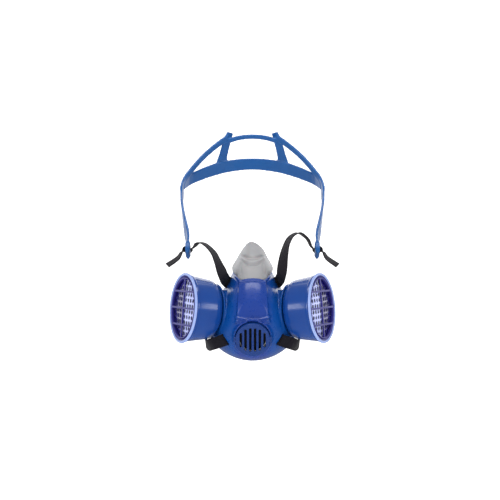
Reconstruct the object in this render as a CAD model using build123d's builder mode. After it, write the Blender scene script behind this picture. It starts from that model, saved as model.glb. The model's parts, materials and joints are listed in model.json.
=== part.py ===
"""Twin-filter half mask respirator, built as separate parts in one frame.

Millimetres. Origin at the centre of the face opening, +Z up, the wearer looks along -Y.
Left and right are the wearer's own: left is +X.
"""
import math
import os

from build123d import *

os.makedirs("parts", exist_ok=True)

# ---------------------------------------------------------------- driving sizes
# Face dome: depth in front of the face opening, half width, top, bottom, pear taper, forward lean
DOME = [
    (0.0, 38.5, 68.0, -66.0, 0.45, 0.00),
    (15.0, 38.0, 58.0, -67.0, 0.42, 0.25),
    (30.0, 36.5, 45.5, -66.0, 0.33, 0.35),
    (45.0, 33.5, 32.0, -63.5, 0.22, 0.45),
    (57.0, 28.0, 21.0, -59.0, 0.12, 0.60),
    (66.0, 20.5, 10.0, -51.0, 0.04, 0.80),
    (71.0, 11.0, -2.0, -40.0, 0.00, 1.00),
]
PEAR = 1.8             # how suddenly the dome narrows from the cheeks to the nose
SKIN = 2.2             # silicone wall of the facepiece
SEAL_LIP = 12.0        # width of the turned-in face seal
SEAL_T = 2.0
COVER_GAP = 2.4        # space between facepiece and cover where the straps end
COVER_T = 2.4          # wall of the front cover
COVER_BACK = 9.0       # the cover stops this far in front of the face opening
PANEL_RISE = 1.8       # raised middle panel of the cover

PORT_X = 46.0          # centre of the filter's inner face
PORT_Y = -35.0
PORT_Z = -11.5
PORT_SWEEP = 25.0      # the filter axis turns this far forward of sideways
PORT_TILT = 4.7        # and this far up
TUBE_R = 17.0          # outside of the port tube
TUBE_T = 2.0
TUBE_OUT = 7.0         # how far the tube stands into the filter
PAD_U = -19.0          # flat pad inside the facepiece, measured along the port axis
FLANGE_R = 20.0
FLANGE_T = 2.0
NECK_R = 18.95         # silicone neck round the port tube
SLEEVE_R = 23.5        # cover sleeve round the neck
SLEEVE_END = -1.0
FLARE_R = 30.5         # the sleeve flares out to meet the filter
LUG_COUNT = 3
LUG_R = 19.5
LUG_W = 9.0
LUG_START = 3.0
LUG_END = 5.5
TWIST = 60.0           # turn from locked to free
RUN = 0.08             # running clearance, radial
SIDE_RUN = 0.10        # running clearance, endwise

CAN_R = 40.0           # outside radius of the pale inlet ring
CAN_L = 38.0           # filter length along its axis
CAN_WALL = 2.0
CAN_BACK_R = 25.5      # cup that takes the bayonet collar
CAN_FLOOR = 8.6
CAN_FLOOR_T = 2.0
RING_FACE = 5.2        # width of the inlet ring seen from its front
RING_T = 2.6
OUTLET_R = 13.5
BED_END = 25.0
PAD_END = 31.0
SCREEN_RISE = 3.3
SCREEN_T = 1.2
RIB_GAP = 2.2          # the ribs start this far below the filter's face
HOLE_PITCH = 6.7
HOLE_R = 2.1
RIB_PITCH = 19.0
RIB_W = 2.2

VALVE_HOLE_R = 13.0
STUD_R = 1.5
STUD_HEAD_R = 2.4
DISC_T = 0.9

EX_Y = -63.7           # start of the exhalation axis
EX_Z = -38.2
EX_DROP = 16.0         # the axis points this far below straight ahead
EX_TUBE_R = 17.0
EX_BORE_R = 15.0
EX_HOLE_R = 12.2
EX_TUBE_END = 12.5
EX_SEAT = 6.0
EX_SEAT_T = 3.0
EX_CAP_R = 19.2
EX_CAP_BACK = 9.0
EX_CAP_END = 17.0
EX_CAP_T = 2.0
EX_COLLAR_R = 21.4
EX_COLLAR_END = 12.0
SLOT_PITCH = 5.3
SLOT_W = 2.6

STRAP_W = 14.0
STRAP_T = 1.4
SLOT_CLEAR = 0.8       # strap slots are this much larger than the strap
KEEPER_W = 7.0
STRAP_GRIP = 0.9       # how far a strap end is set into its keeper
UPPER_SLOT = (27.8, 19.3, -0.46, -0.89)    # x, z and the slot's own direction in the front view
LOWER_SLOT = (31.5, -44.0, -0.68, -0.73)

ARM_X = 77.0           # middle of the cradle arm plates
LOOP_LONG = 20.0
LOOP_WIDE = 13.0
ARM_T = 6.0             # thickness of the loop end that holds the upper strap
ARM_Y = 10.0           # the line both upper straps cross
ARM_Z = 58.0
SWING_X = 40.5         # where each lower strap starts to swing
SWING_Y = -58.5
SWING_Z = -47.5
CRADLE_T = 3.0
ARM_FREE_Z = 112.0     # below this height the arms leave the head and turn towards the front
OUTER_TILT = 0.25      # how far the outer bands turn towards the front

# upper strap from the cover slot to the cradle arm, front view as worn: the two sides lie differently
UPPER_RIGHT = [(33.5, -36.5, 27.0), (38.0, -30.0, 39.0), (45.8, -18.0, 54.5), (56.0, -5.0, 64.0),
               (64.0, 4.0, 65.5), (69.3, 8.8, 61.3)]
UPPER_LEFT = [(33.0, -36.5, 28.0), (35.3, -30.0, 46.0), (38.6, -20.0, 61.0), (45.0, -9.0, 73.0),
              (55.0, 0.0, 77.5), (65.0, 6.5, 71.0), (69.8, 9.2, 62.0)]
TAIL = [(85.0, 9.5, 54.5), (89.0, 8.0, 47.0), (99.0, 6.0, 40.0)]
NECK = [(45.5, -57.5, -48.8), (49.5, -51.0, -50.8), (51.5, -38.0, -51.5), (53.6, -20.0, -50.1),
        (55.2, 0.0, -45.3), (58.5, 30.0, -34.0), (60.0, 60.0, -27.0), (54.0, 92.0, -21.0),
        (38.0, 115.0, -18.0)]
CLIP_Y = 128.0
CLIP_Z = -16.0
CLIP_HALF = 17.0

# head cradle centre lines, half of each, as centre, width direction and width
ARM = [((77.0, 5.5, 50.5), 15.0), ((77.0, 10.0, 58.0), 18.5), ((77.2, 14.5, 65.5), 17.0),
       ((79.5, 24.0, 79.0), 13.0), ((83.0, 35.0, 95.0), 12.0), ((86.5, 48.0, 114.0), 13.0),
       ((87.0, 57.0, 127.0), 15.0)]
BAND = [((86.5, 62.0, 137.5), 16.5), ((80.0, 77.0, 145.0), 16.0), ((69.0, 90.0, 151.5), 16.0),
        ((47.0, 106.0, 161.0), 17.0), ((24.0, 114.0, 166.5), 16.5)]
BAND_MIDDLE = ((0.0, 116.5, 168.5), 16.0)
OUTER = [((86.3, 60.5, 134.5), 8.5), ((84.0, 63.5, 145.0), 8.5), ((76.5, 70.0, 156.5), 8.0),
         ((64.0, 77.5, 172.0), 8.0), ((50.5, 83.0, 185.0), 8.0), ((38.0, 86.5, 194.8), 8.5),
         ((29.5, 88.5, 200.5), 9.5)]
STRUT = [((28.0, 87.5, 206.0), 9.0), ((32.0, 91.5, 196.0), 11.0), ((37.5, 104.0, 178.0), 12.0),
         ((40.0, 109.0, 166.0), 17.0)]
ARCH = [((31.0, 90.0, 195.5), 7.5), ((16.0, 88.0, 199.5), 7.0)]
ARCH_MIDDLE = ((0.0, 87.0, 200.8), 6.8)


# ---------------------------------------------------------------- shared geometry
def outline(row, grow):
    """One closed pear outline of the dome, moved out by grow along the surface."""
    depth, half, top, bottom, taper, lean = row
    side_grow = grow * math.sqrt(max(0.0, 1 - lean * lean)) if lean < 1 else grow * 0.8
    front = depth + grow * lean
    middle = (top + bottom) / 2
    tall = (top - bottom) / 2 + side_grow
    wide = half + side_grow
    points = []
    for k in range(16):
        turn = 2 * math.pi * k / 16
        pinch = (1 - taper * math.tanh(PEAR * math.cos(turn)) / math.tanh(PEAR)) ** 1.2
        points.append((wide * math.sin(turn) * pinch, middle + tall * math.cos(turn)))
    with BuildSketch(Plane.XZ.offset(front)) as sheet:
        with BuildLine():
            Spline(*points, periodic=True)
        make_face()
    return sheet.sketch


def dome(grow):
    """The face dome as a solid, grown outwards by grow."""
    with BuildPart() as body:
        loft([outline(row, grow) for row in DOME])
    return body.part


def port_axis(side):
    sweep = math.radians(PORT_SWEEP)
    tilt = math.radians(PORT_TILT)
    return Vector(side * math.cos(sweep) * math.cos(tilt), -math.sin(sweep) * math.cos(tilt), math.sin(tilt))


def port_plane(side, along=0.0):
    """Plane across the port axis, a distance along from the filter's inner face."""
    axis = port_axis(side)
    sweep = math.radians(PORT_SWEEP)
    back = Vector(side * math.sin(sweep), math.cos(sweep), 0)
    centre = Vector(side * PORT_X, PORT_Y, PORT_Z) + axis * along
    return Plane(origin=centre, x_dir=back, z_dir=axis)


def exhale_plane(along=0.0):
    drop = math.radians(EX_DROP)
    axis = Vector(0, -math.cos(drop), -math.sin(drop))
    centre = Vector(0, EX_Y, EX_Z) + axis * along
    return Plane(origin=centre, x_dir=(1, 0, 0), z_dir=axis)


def tube(plane_at, start, end, outer, inner=0.0):
    """Round tube or disc between two distances along an axis."""
    with BuildPart() as body:
        with BuildSketch(plane_at(start)):
            Circle(outer)
            if inner > 0:
                Circle(inner, mode=Mode.SUBTRACT)
        extrude(amount=end - start)
    return body.part


def turned(plane_at, profile):
    """Solid turned about an axis from (radius, distance along) corners."""
    base = plane_at(0)
    side_plane = Plane(origin=base.origin, x_dir=base.x_dir, z_dir=base.x_dir.cross(base.z_dir))
    with BuildPart() as body:
        with BuildSketch(side_plane):
            with BuildLine():
                Polyline(*profile, close=True)
            make_face()
        revolve(axis=Axis(base.origin, base.z_dir))
    return body.part


def smooth_path(points, steps):
    """More points along a smooth curve through the ones given."""
    out = []
    last = len(points) - 1
    for k in range(last):
        p0 = points[max(k - 1, 0)]
        p1 = points[k]
        p2 = points[k + 1]
        p3 = points[min(k + 2, last)]
        for j in range(steps):
            t = j / steps
            a = (p1 * 2 + (p2 - p0) * t + (p0 * 2 - p1 * 5 + p2 * 4 - p3) * t * t
                 + (p1 * 3 - p0 - p2 * 3 + p3) * t * t * t) * 0.5
            out.append(a)
    out.append(points[last])
    return out


def ribbon(centres, widths_at, across, thick, first=None, final=None):
    """Flat band through centres. across gives the width direction at each centre."""
    count = len(centres)
    with BuildPart() as body:
        for k in range(count):
            ahead = centres[min(k + 1, count - 1)]
            behind = centres[max(k - 1, 0)]
            run = (ahead - behind).normalized()
            if k == 0 and first is not None:
                run = first.normalized()
            if k == count - 1 and final is not None:
                run = final.normalized()
            wide = across[k] - run * across[k].dot(run)
            with BuildSketch(Plane(origin=centres[k], x_dir=wide.normalized(), z_dir=run)):
                Rectangle(widths_at[k], thick)
        loft(ruled=True)
    return body.part


def mixed(values, count):
    """Spread a short list of numbers or vectors over count stations."""
    out = []
    for k in range(count):
        place = k * (len(values) - 1) / (count - 1)
        low = min(int(place), len(values) - 2)
        part_way = place - low
        out.append(values[low] * (1 - part_way) + values[low + 1] * part_way)
    return out


def surface_hit(shape, x, z):
    """Where a line from the front through x, z meets a shape, and the outward normal there."""
    hits = shape.find_intersection_points(Axis((x, -200, z), (0, 1, 0)))
    hits = sorted(hits, key=lambda pair: pair[0].Y)
    point, normal = hits[0]
    if normal.Y > 0:
        normal = normal * -1
    return point, normal.normalized()


face_outer = dome(0.0)
face_inner = dome(-SKIN)
cover_inner = dome(COVER_GAP)
cover_outer = dome(COVER_GAP + COVER_T)
panel_outer = dome(COVER_GAP + COVER_T + PANEL_RISE)


def slot_frame(spec, side):
    """Plane lying on the cover at a strap slot: x along the slot, z out of the cover."""
    x, z, dir_x, dir_z = spec
    point, normal = surface_hit(cover_outer, side * x, z)
    along = Vector(side * dir_x, 0, dir_z)
    along = along - normal * along.dot(normal)
    return Plane(origin=point, x_dir=along.normalized(), z_dir=normal)


def slot_block(spec, side, wide, low, high):
    """Box standing across the cover wall at a strap slot."""
    plane = slot_frame(spec, side)
    with BuildPart() as body:
        with BuildSketch(plane.offset(low)):
            Rectangle(STRAP_W + SLOT_CLEAR, wide)
        extrude(amount=high - low)
    return body.part


SIDES = (("left", 1), ("right", -1))
ALL_PARTS = {}


def keep(name, shape):
    shape.label = name
    ALL_PARTS[name] = shape


# ---------------------------------------------------------------- facepiece
# The hollow leaves a flat seal lip at the back and a flat pad inside round each port.
with BuildPart() as hollow:
    add(face_inner)
    with BuildSketch(Plane.XZ.offset(-5)):
        Rectangle(240, 240)
    extrude(amount=5 + SEAL_T, mode=Mode.SUBTRACT)
    for name, side in SIDES:
        add(tube(lambda u: port_plane(side, u), PAD_U, 6.0, FLANGE_R + 1.0), mode=Mode.SUBTRACT)

with BuildPart() as facepiece:
    add(face_outer)
    add(hollow.part, mode=Mode.SUBTRACT)
    with BuildSketch(Plane.XZ.offset(-1)):
        add(outline(DOME[0], -SEAL_LIP).faces()[0])
    extrude(amount=2 + SEAL_T, mode=Mode.SUBTRACT)
    for name, side in SIDES:
        add(tube(lambda u: port_plane(side, u), PAD_U + 4.0, -3.0, NECK_R))
    add(tube(exhale_plane, -4.0, EX_TUBE_END, EX_TUBE_R))
    for name, side in SIDES:
        add(tube(lambda u: port_plane(side, u), -34.0, PAD_U, FLANGE_R + 0.2), mode=Mode.SUBTRACT)
        add(tube(lambda u: port_plane(side, u), -34.0, 10.0, TUBE_R), mode=Mode.SUBTRACT)
    add(tube(exhale_plane, -12.0, EX_TUBE_END + 1, EX_BORE_R), mode=Mode.SUBTRACT)
keep("facepiece", facepiece.part)

# ---------------------------------------------------------------- front cover
with BuildPart() as front_cover:
    add(cover_outer)
    # open the back and shape the upper edge: two ears, a V and a low arch over the nose
    with BuildSketch(Plane.XZ.offset(-10)):
        Rectangle(240, 240)
    extrude(amount=10 + COVER_BACK, mode=Mode.SUBTRACT)
    with BuildSketch(Plane.XZ.offset(-5)):
        with BuildLine():
            Polyline((-80, 8), (-41, 14), (-36, 19.5), (-25.5, 32), (-22.5, 31.5), (-14, 23.5), (-7, 25.2),
                     (0, 25.8), (7, 25.2), (14, 23.5), (22.5, 31.5), (25.5, 32), (36, 19.5), (41, 14),
                     (80, 8), (80, 120), (-80, 120), close=True)
        make_face()
    extrude(amount=120, mode=Mode.SUBTRACT)
    # raised middle panel
    with BuildSketch(Plane.XZ.offset(COVER_BACK + 20)) as panel_shape:
        with BuildLine():
            Polyline((-15, 22), (15, 22), (17, -12), (20, -24), (-20, -24), (-17, -12), close=True)
        make_face()
    panel_block = extrude(amount=80, mode=Mode.PRIVATE)
    add(panel_block.intersect(panel_outer))
    for name, side in SIDES:
        add(turned(lambda u: port_plane(side, u), [
            (NECK_R - 1, -24.0), (SLEEVE_R, -24.0), (SLEEVE_R + 0.6, -9.0), (SLEEVE_R + 2.8, -5.0),
            (FLARE_R, -2.4), (FLARE_R, SLEEVE_END), (NECK_R - 1, SLEEVE_END)]))
    add(turned(exhale_plane, [
        (EX_CAP_R - 1, -3.0), (EX_COLLAR_R + 2.9, -3.0), (EX_COLLAR_R + 1.9, 4.0), (EX_COLLAR_R + 0.6, 9.0),
        (EX_COLLAR_R, EX_COLLAR_END), (EX_CAP_R - 1, EX_COLLAR_END)]))
    add(cover_inner, mode=Mode.SUBTRACT)
    for name, side in SIDES:
        add(tube(lambda u: port_plane(side, u), -26.0, 5.0, NECK_R + 0.05), mode=Mode.SUBTRACT)
        add(slot_block(UPPER_SLOT, side, STRAP_T + SLOT_CLEAR, -4.5, 6.0), mode=Mode.SUBTRACT)
        add(slot_block(LOWER_SLOT, side, STRAP_T + SLOT_CLEAR, -4.5, 6.0), mode=Mode.SUBTRACT)
    add(tube(exhale_plane, -6.0, EX_COLLAR_END + 9, EX_CAP_R + 0.4), mode=Mode.SUBTRACT)
keep("front_cover", front_cover.part)

# ---------------------------------------------------------------- ports and inhalation valves
for name, side in SIDES:
    with BuildPart() as port_connector:
        add(tube(lambda u: port_plane(side, u), PAD_U - FLANGE_T, TUBE_OUT, TUBE_R))
        add(tube(lambda u: port_plane(side, u), PAD_U - FLANGE_T, PAD_U, FLANGE_R))
        add(tube(lambda u: port_plane(side, u), -3.0, SLEEVE_END, NECK_R - 0.1))
        with BuildSketch(port_plane(side, LUG_START)):
            with PolarLocations(TUBE_R + 0.5, LUG_COUNT, start_angle=90):
                Rectangle(6, LUG_W)
            Circle(LUG_R, mode=Mode.INTERSECT)
        extrude(amount=LUG_END - LUG_START)
        add(tube(lambda u: port_plane(side, u), PAD_U - 4, TUBE_OUT + 1, TUBE_R - TUBE_T), mode=Mode.SUBTRACT)
    keep(name + "_port_connector", port_connector.part)

    seat_at = PAD_U + 2.0
    with BuildPart() as inhalation_valve_seat:
        with BuildSketch(port_plane(side, seat_at)):
            Circle(TUBE_R - TUBE_T)
            Circle(VALVE_HOLE_R, mode=Mode.SUBTRACT)
            with PolarLocations(7.2, 4, start_angle=45):
                Rectangle(13.0, 1.6)
            Circle(3.2)
        extrude(amount=2.5)
        with BuildSketch(port_plane(side, seat_at)):
            Circle(STUD_R)
        extrude(amount=-4.0)
        with BuildSketch(port_plane(side, seat_at - 4.0)):
            Circle(STUD_HEAD_R)
        extrude(amount=-1.0)
    keep(name + "_inhalation_valve_seat", inhalation_valve_seat.part)

    with BuildPart() as inhalation_valve_disc:
        with BuildSketch(port_plane(side, seat_at)):
            Circle(TUBE_R - TUBE_T - 1.1)
            Circle(STUD_R + RUN, mode=Mode.SUBTRACT)
        extrude(amount=-DISC_T)
    keep(name + "_inhalation_valve_disc", inhalation_valve_disc.part)

    with BuildPart() as filter_gasket:
        add(tube(lambda u: port_plane(side, u), TUBE_OUT, CAN_FLOOR - SIDE_RUN, TUBE_R - 0.2, OUTLET_R + 0.4))
    keep(name + "_filter_gasket", filter_gasket.part)

# ---------------------------------------------------------------- exhalation valve and its cover
with BuildPart() as exhalation_valve_seat:
    with BuildSketch(exhale_plane(EX_SEAT)):
        Circle(EX_BORE_R)
        Circle(EX_HOLE_R, mode=Mode.SUBTRACT)
        with PolarLocations(7.4, 4, start_angle=45):
            Rectangle(12.4, 1.8)
        Circle(3.4)
    extrude(amount=EX_SEAT_T)
    with BuildSketch(exhale_plane(EX_SEAT + EX_SEAT_T)):
        Circle(STUD_R)
    extrude(amount=3.6)
    with BuildSketch(exhale_plane(EX_SEAT + EX_SEAT_T + 3.6)):
        Circle(STUD_HEAD_R)
    extrude(amount=1.0)
keep("exhalation_valve_seat", exhalation_valve_seat.part)

with BuildPart() as exhalation_valve_disc:
    with BuildSketch(exhale_plane(EX_SEAT + EX_SEAT_T)):
        Circle(EX_BORE_R - 1.4)
        Circle(STUD_R + RUN, mode=Mode.SUBTRACT)
    extrude(amount=DISC_T)
keep("exhalation_valve_disc", exhalation_valve_disc.part)

with BuildPart() as exhalation_cover:
    add(tube(exhale_plane, EX_CAP_BACK, EX_CAP_END, EX_CAP_R))
    add(tube(exhale_plane, EX_CAP_BACK - 1, EX_CAP_END - EX_CAP_T, EX_TUBE_R + RUN), mode=Mode.SUBTRACT)
    with BuildSketch(exhale_plane(EX_COLLAR_END + 0.6)):
        with PolarLocations(EX_CAP_R + 0.6, 2):
            Rectangle(3.6, 6.0)
    extrude(amount=2.4)
    add(tube(exhale_plane, EX_CAP_BACK - 1, EX_CAP_END - EX_CAP_T, EX_TUBE_R + RUN), mode=Mode.SUBTRACT)
    with BuildSketch(exhale_plane(EX_CAP_END + 1)):
        for k in range(6):
            offset = (k - 2.5) * SLOT_PITCH
            length = 27.5 if abs(k - 2.5) < 1 else (25.0 if abs(k - 2.5) < 2 else 17.0)
            with Locations((offset, 0)):
                SlotCenterToCenter(length - SLOT_W, SLOT_W, rotation=90)
    extrude(amount=-EX_CAP_T - 2, mode=Mode.SUBTRACT)
    fillet(exhalation_cover.edges().filter_by(GeomType.CIRCLE).sort_by(Axis.Y)[0], 0.8)
keep("exhalation_cover", exhalation_cover.part)

# ---------------------------------------------------------------- filters
BODY_END = CAN_L - RING_T
BODY_R = CAN_R - 1.6
SHOULDER_R = 33.5
SHOULDER_U = 5.0
WALL_SLOPE = (BODY_R - CAN_WALL - 31.7) / (BODY_END - 7.5)


def bore_at(u):
    """Inside radius of the filter housing at a distance along the axis."""
    return 31.7 + (u - 7.5) * WALL_SLOPE


for name, side in SIDES:
    def here(u, side=side):
        return port_plane(side, u)

    with BuildPart() as filter_housing:
        add(turned(here, [
            (CAN_BACK_R, 0), (CAN_BACK_R + 1.5, 0), (SHOULDER_R, SHOULDER_U), (BODY_R, BODY_END),
            (BODY_R - CAN_WALL, BODY_END), (31.7, 7.5), (CAN_BACK_R + 2, 7.5),
            (CAN_BACK_R + 2, CAN_FLOOR + CAN_FLOOR_T), (OUTLET_R, CAN_FLOOR + CAN_FLOOR_T),
            (OUTLET_R, CAN_FLOOR), (CAN_BACK_R, CAN_FLOOR)]))
    keep(name + "_filter_housing", filter_housing.part)

    with BuildPart() as bayonet_collar:
        add(tube(here, 0.0, CAN_FLOOR, CAN_BACK_R, TUBE_R + RUN))
        groove = tube(here, LUG_START - SIDE_RUN, LUG_END + SIDE_RUN, LUG_R + RUN)
        add(groove, mode=Mode.SUBTRACT)
        with BuildSketch(here(-0.5)):
            with PolarLocations(TUBE_R + 0.5, LUG_COUNT, start_angle=90 - TWIST):
                Rectangle(6, LUG_W + 0.6)
            Circle(LUG_R + RUN, mode=Mode.INTERSECT)
        extrude(amount=LUG_END + 0.5, mode=Mode.SUBTRACT)
    keep(name + "_bayonet_collar", bayonet_collar.part)

    with BuildPart() as outlet_screen:
        with BuildSketch(here(CAN_FLOOR + CAN_FLOOR_T)):
            Circle(bore_at(CAN_FLOOR + CAN_FLOOR_T) - 0.1)
            with GridLocations(HOLE_PITCH, HOLE_PITCH, 5, 5):
                Circle(HOLE_R - 0.5, mode=Mode.SUBTRACT)
        extrude(amount=1.4)
    keep(name + "_outlet_screen", outlet_screen.part)

    bed_start = CAN_FLOOR + CAN_FLOOR_T + 1.4
    with BuildPart() as carbon_bed:
        add(turned(here, [(0, bed_start), (bore_at(bed_start) - 0.1, bed_start),
                          (bore_at(BED_END) - 0.1, BED_END), (0, BED_END)]))
    keep(name + "_carbon_bed", carbon_bed.part)

    with BuildPart() as particulate_pad:
        add(turned(here, [(0, BED_END), (bore_at(BED_END) - 0.1, BED_END),
                          (bore_at(PAD_END) - 0.1, PAD_END), (0, PAD_END)]))
    keep(name + "_particulate_pad", particulate_pad.part)

    rim_r = CAN_R - RING_FACE
    seat_r = bore_at(PAD_END) - 0.2
    dome_r = rim_r - 0.4
    low_u = PAD_END + 1.3
    top_u = low_u + SCREEN_RISE
    big_r = (dome_r ** 2 + SCREEN_RISE ** 2) / (2 * SCREEN_RISE)
    mid_u = top_u - big_r + math.sqrt(big_r ** 2 - (dome_r / 2) ** 2)
    with BuildPart() as inlet_screen:
        side_plane = Plane(origin=here(0).origin, x_dir=here(0).x_dir,
                           z_dir=here(0).x_dir.cross(here(0).z_dir))
        with BuildSketch(side_plane):
            with BuildLine():
                ThreePointArc((0, top_u), (dome_r / 2, mid_u), (dome_r, low_u))
                Line((dome_r, low_u), (seat_r, low_u))
                Line((seat_r, low_u), (seat_r, PAD_END))
                Line((seat_r, PAD_END), (dome_r - 1.2, PAD_END))
                ThreePointArc((dome_r - 1.2, PAD_END), (dome_r / 2, mid_u - SCREEN_T), (0, top_u - SCREEN_T))
                Line((0, top_u - SCREEN_T), (0, top_u))
            make_face()
        revolve(axis=Axis(here(0).origin, here(0).z_dir))
        with BuildSketch(here(PAD_END - 1)):
            for row in range(-4, 5):
                for column in range(-4, 5):
                    px = (column + 0.5 * (row % 2)) * HOLE_PITCH
                    py = row * HOLE_PITCH
                    if math.hypot(px, py) < dome_r - HOLE_R - 1.6:
                        with Locations((px, py)):
                            Circle(HOLE_R)
        extrude(amount=20, mode=Mode.SUBTRACT)
    keep(name + "_inlet_screen", inlet_screen.part)

    rib_top = CAN_L - 0.6
    with BuildPart() as inlet_grid:
        with BuildSketch(here(CAN_L - RIB_GAP - 1.0)):
            Circle(rim_r)
            Circle(rim_r - 1.4, mode=Mode.SUBTRACT)
        extrude(amount=rib_top - (CAN_L - RIB_GAP - 1.0))
        with BuildSketch(here(CAN_L - RIB_GAP)):
            with Locations((0, -RIB_PITCH), (0, 0), (0, RIB_PITCH)):
                Rectangle(2 * rim_r, RIB_W)
            Rectangle(RIB_W, 2 * rim_r)
            Circle(rim_r, mode=Mode.INTERSECT)
        extrude(amount=rib_top - (CAN_L - RIB_GAP))
    keep(name + "_inlet_grid", inlet_grid.part)

    with BuildPart() as inlet_ring:
        add(turned(here, [
            (CAN_R, BODY_END), (CAN_R, CAN_L - 0.6), (CAN_R - 0.6, CAN_L), (rim_r, CAN_L),
            (rim_r, BODY_END - 3.0), (bore_at(BODY_END - 3.0) - 0.1, BODY_END - 3.0),
            (bore_at(BODY_END - 3.0) - 0.1, BODY_END)]))
    keep(name + "_inlet_ring", inlet_ring.part)

# ---------------------------------------------------------------- straps
UPPER_PATHS = {"left": UPPER_LEFT, "right": UPPER_RIGHT}
OUT_X = Vector(1, 0, 0)
for name, side in SIDES:
    arm_across = Vector(0, 0.86, -0.51)
    arm_inner = ARM_X - ARM_T / 2 - SIDE_RUN

    frame = slot_frame(UPPER_SLOT, side)
    start = frame.origin - frame.z_dir * (COVER_T + STRAP_GRIP)
    path = [start, frame.origin + frame.z_dir * 2.5]
    for x, y, z in UPPER_PATHS[name]:
        path.append(Vector(side * x, y, z))
    path.append(Vector(side * arm_inner, ARM_Y, ARM_Z))
    centres = [path[0]] + smooth_path(path[1:], 3)
    across = mixed([frame.x_dir * -1, Vector(-side * 0.66, 0.66, 0.36), Vector(-side * 0.38, 0.92, 0.10),
                    Vector(-side * 0.28, 0.95, 0), Vector(-side * 0.18, 0.97, 0),
                    Vector(0, 1, 0)], len(centres) - 1) + [arm_across]
    widths = [STRAP_W] * len(centres)
    with BuildPart() as upper_strap:
        add(ribbon(centres, widths, across, STRAP_T, first=frame.z_dir, final=OUT_X * side))
    keep(name + "_upper_strap", upper_strap.part)

    with BuildPart() as upper_keeper:
        block = slot_block(UPPER_SLOT, side, KEEPER_W, -COVER_T - COVER_GAP - 4, 0)
        add(block.intersect(cover_inner))
        add(face_outer, mode=Mode.SUBTRACT)
        add(upper_strap.part, mode=Mode.SUBTRACT)
    keep(name + "_upper_keeper", upper_keeper.part)

    tail_path = [Vector(side * (ARM_X - ARM_T / 2), ARM_Y, ARM_Z),
                 Vector(side * (ARM_X + ARM_T / 2 + 1.2), ARM_Y, ARM_Z)]
    for x, y, z in TAIL:
        tail_path.append(Vector(side * x, y, z))
    centres = [tail_path[0]] + smooth_path(tail_path[1:], 3)
    across = mixed([arm_across, arm_across, arm_across, Vector(side * 0.2, 0.9, 0.1)], len(centres))
    with BuildPart() as strap_tail:
        add(ribbon(centres, [STRAP_W] * len(centres), across, STRAP_T, first=OUT_X * side))
    keep(name + "_strap_tail", strap_tail.part)

    frame = slot_frame(LOWER_SLOT, side)
    start = frame.origin - frame.z_dir * (COVER_T + STRAP_GRIP)
    cut = Vector(side * (SWING_X - SIDE_RUN), SWING_Y, SWING_Z)
    path = [frame.origin + frame.z_dir * 2.0, cut]
    centres = [start] + smooth_path(path, 3)
    low_across = Vector(-side * 0.2, -0.35, -0.93)
    across = mixed([frame.x_dir, frame.x_dir, low_across], len(centres))
    with BuildPart() as lower_strap:
        add(ribbon(centres, [STRAP_W] * len(centres), across, STRAP_T, first=frame.z_dir, final=OUT_X * side))
    keep(name + "_lower_strap", lower_strap.part)

    with BuildPart() as lower_keeper:
        block = slot_block(LOWER_SLOT, side, KEEPER_W, -COVER_T - COVER_GAP - 4, 0)
        add(block.intersect(cover_inner))
        add(face_outer, mode=Mode.SUBTRACT)
        add(lower_strap.part, mode=Mode.SUBTRACT)
    keep(name + "_lower_keeper", lower_keeper.part)

    neck_path = [Vector(side * SWING_X, SWING_Y, SWING_Z)]
    for x, y, z in NECK:
        neck_path.append(Vector(side * x, y, z))
    neck_path.append(Vector(side * CLIP_HALF, CLIP_Y, CLIP_Z))
    centres = smooth_path(neck_path, 2)
    upright = Vector(0, 0.05, -1)
    across = mixed([low_across, Vector(-side * 0.3, 0.5, -0.8), upright, upright, upright, upright],
                   len(centres))
    with BuildPart() as neck_strap:
        add(ribbon(centres, [STRAP_W] * len(centres), across, STRAP_T, first=OUT_X * side,
                   final=OUT_X * -side))
    keep(name + "_neck_strap", neck_strap.part)

# ---------------------------------------------------------------- neck clip: hook half and loop half
CLIP_H = STRAP_W + 6
with BuildPart() as neck_clip_hook:
    with BuildSketch(Plane.YZ.offset(4)):
        with Locations((CLIP_Y, CLIP_Z)):
            RectangleRounded(5.0, CLIP_H, 1.5)
    extrude(amount=CLIP_HALF - 4)
    with BuildSketch(Plane.YZ.offset(-9)):
        with Locations((CLIP_Y, CLIP_Z)):
            Rectangle(2.0, 8.0)
    extrude(amount=14)
    with BuildSketch(Plane.YZ.offset(-9)):
        with Locations((CLIP_Y + 1.5, CLIP_Z)):
            Rectangle(3.0, 8.0)
    extrude(amount=2.5)
keep("neck_clip_hook", neck_clip_hook.part)

with BuildPart() as neck_clip_loop:
    with BuildSketch(Plane.YZ.offset(-CLIP_HALF)):
        with Locations((CLIP_Y, CLIP_Z)):
            RectangleRounded(5.0, CLIP_H, 1.5)
    extrude(amount=CLIP_HALF + 3.9)
    with BuildSketch(Plane.XZ.offset(-CLIP_Y - 10)):
        with Locations((-3.1, CLIP_Z)):
            Rectangle(12.2, 8.4)
    extrude(amount=20, mode=Mode.SUBTRACT)
    with BuildSketch(Plane.YZ.offset(0)):
        with Locations((CLIP_Y, CLIP_Z)):
            Rectangle(2.2, 8.4)
    extrude(amount=10, mode=Mode.SUBTRACT)
keep("neck_clip_loop", neck_clip_loop.part)


# ---------------------------------------------------------------- head cradle
def head_normal(point):
    """Direction out of the head, which is taken as an egg round its middle."""
    return Vector(point.X / 88.0 ** 2, (point.Y - 30) / 100.0 ** 2, (point.Z - 90) / 118.0 ** 2).normalized()


def arm_width_at(point):
    """Width direction of an arm: along the strap slot at its end, turned to the front above it."""
    turn = 0.42 * min(1.0, max(0.0, (point.Z - 64) / 14))
    return Vector(-math.copysign(turn, point.X), -0.80, 0.47).normalized()


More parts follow.
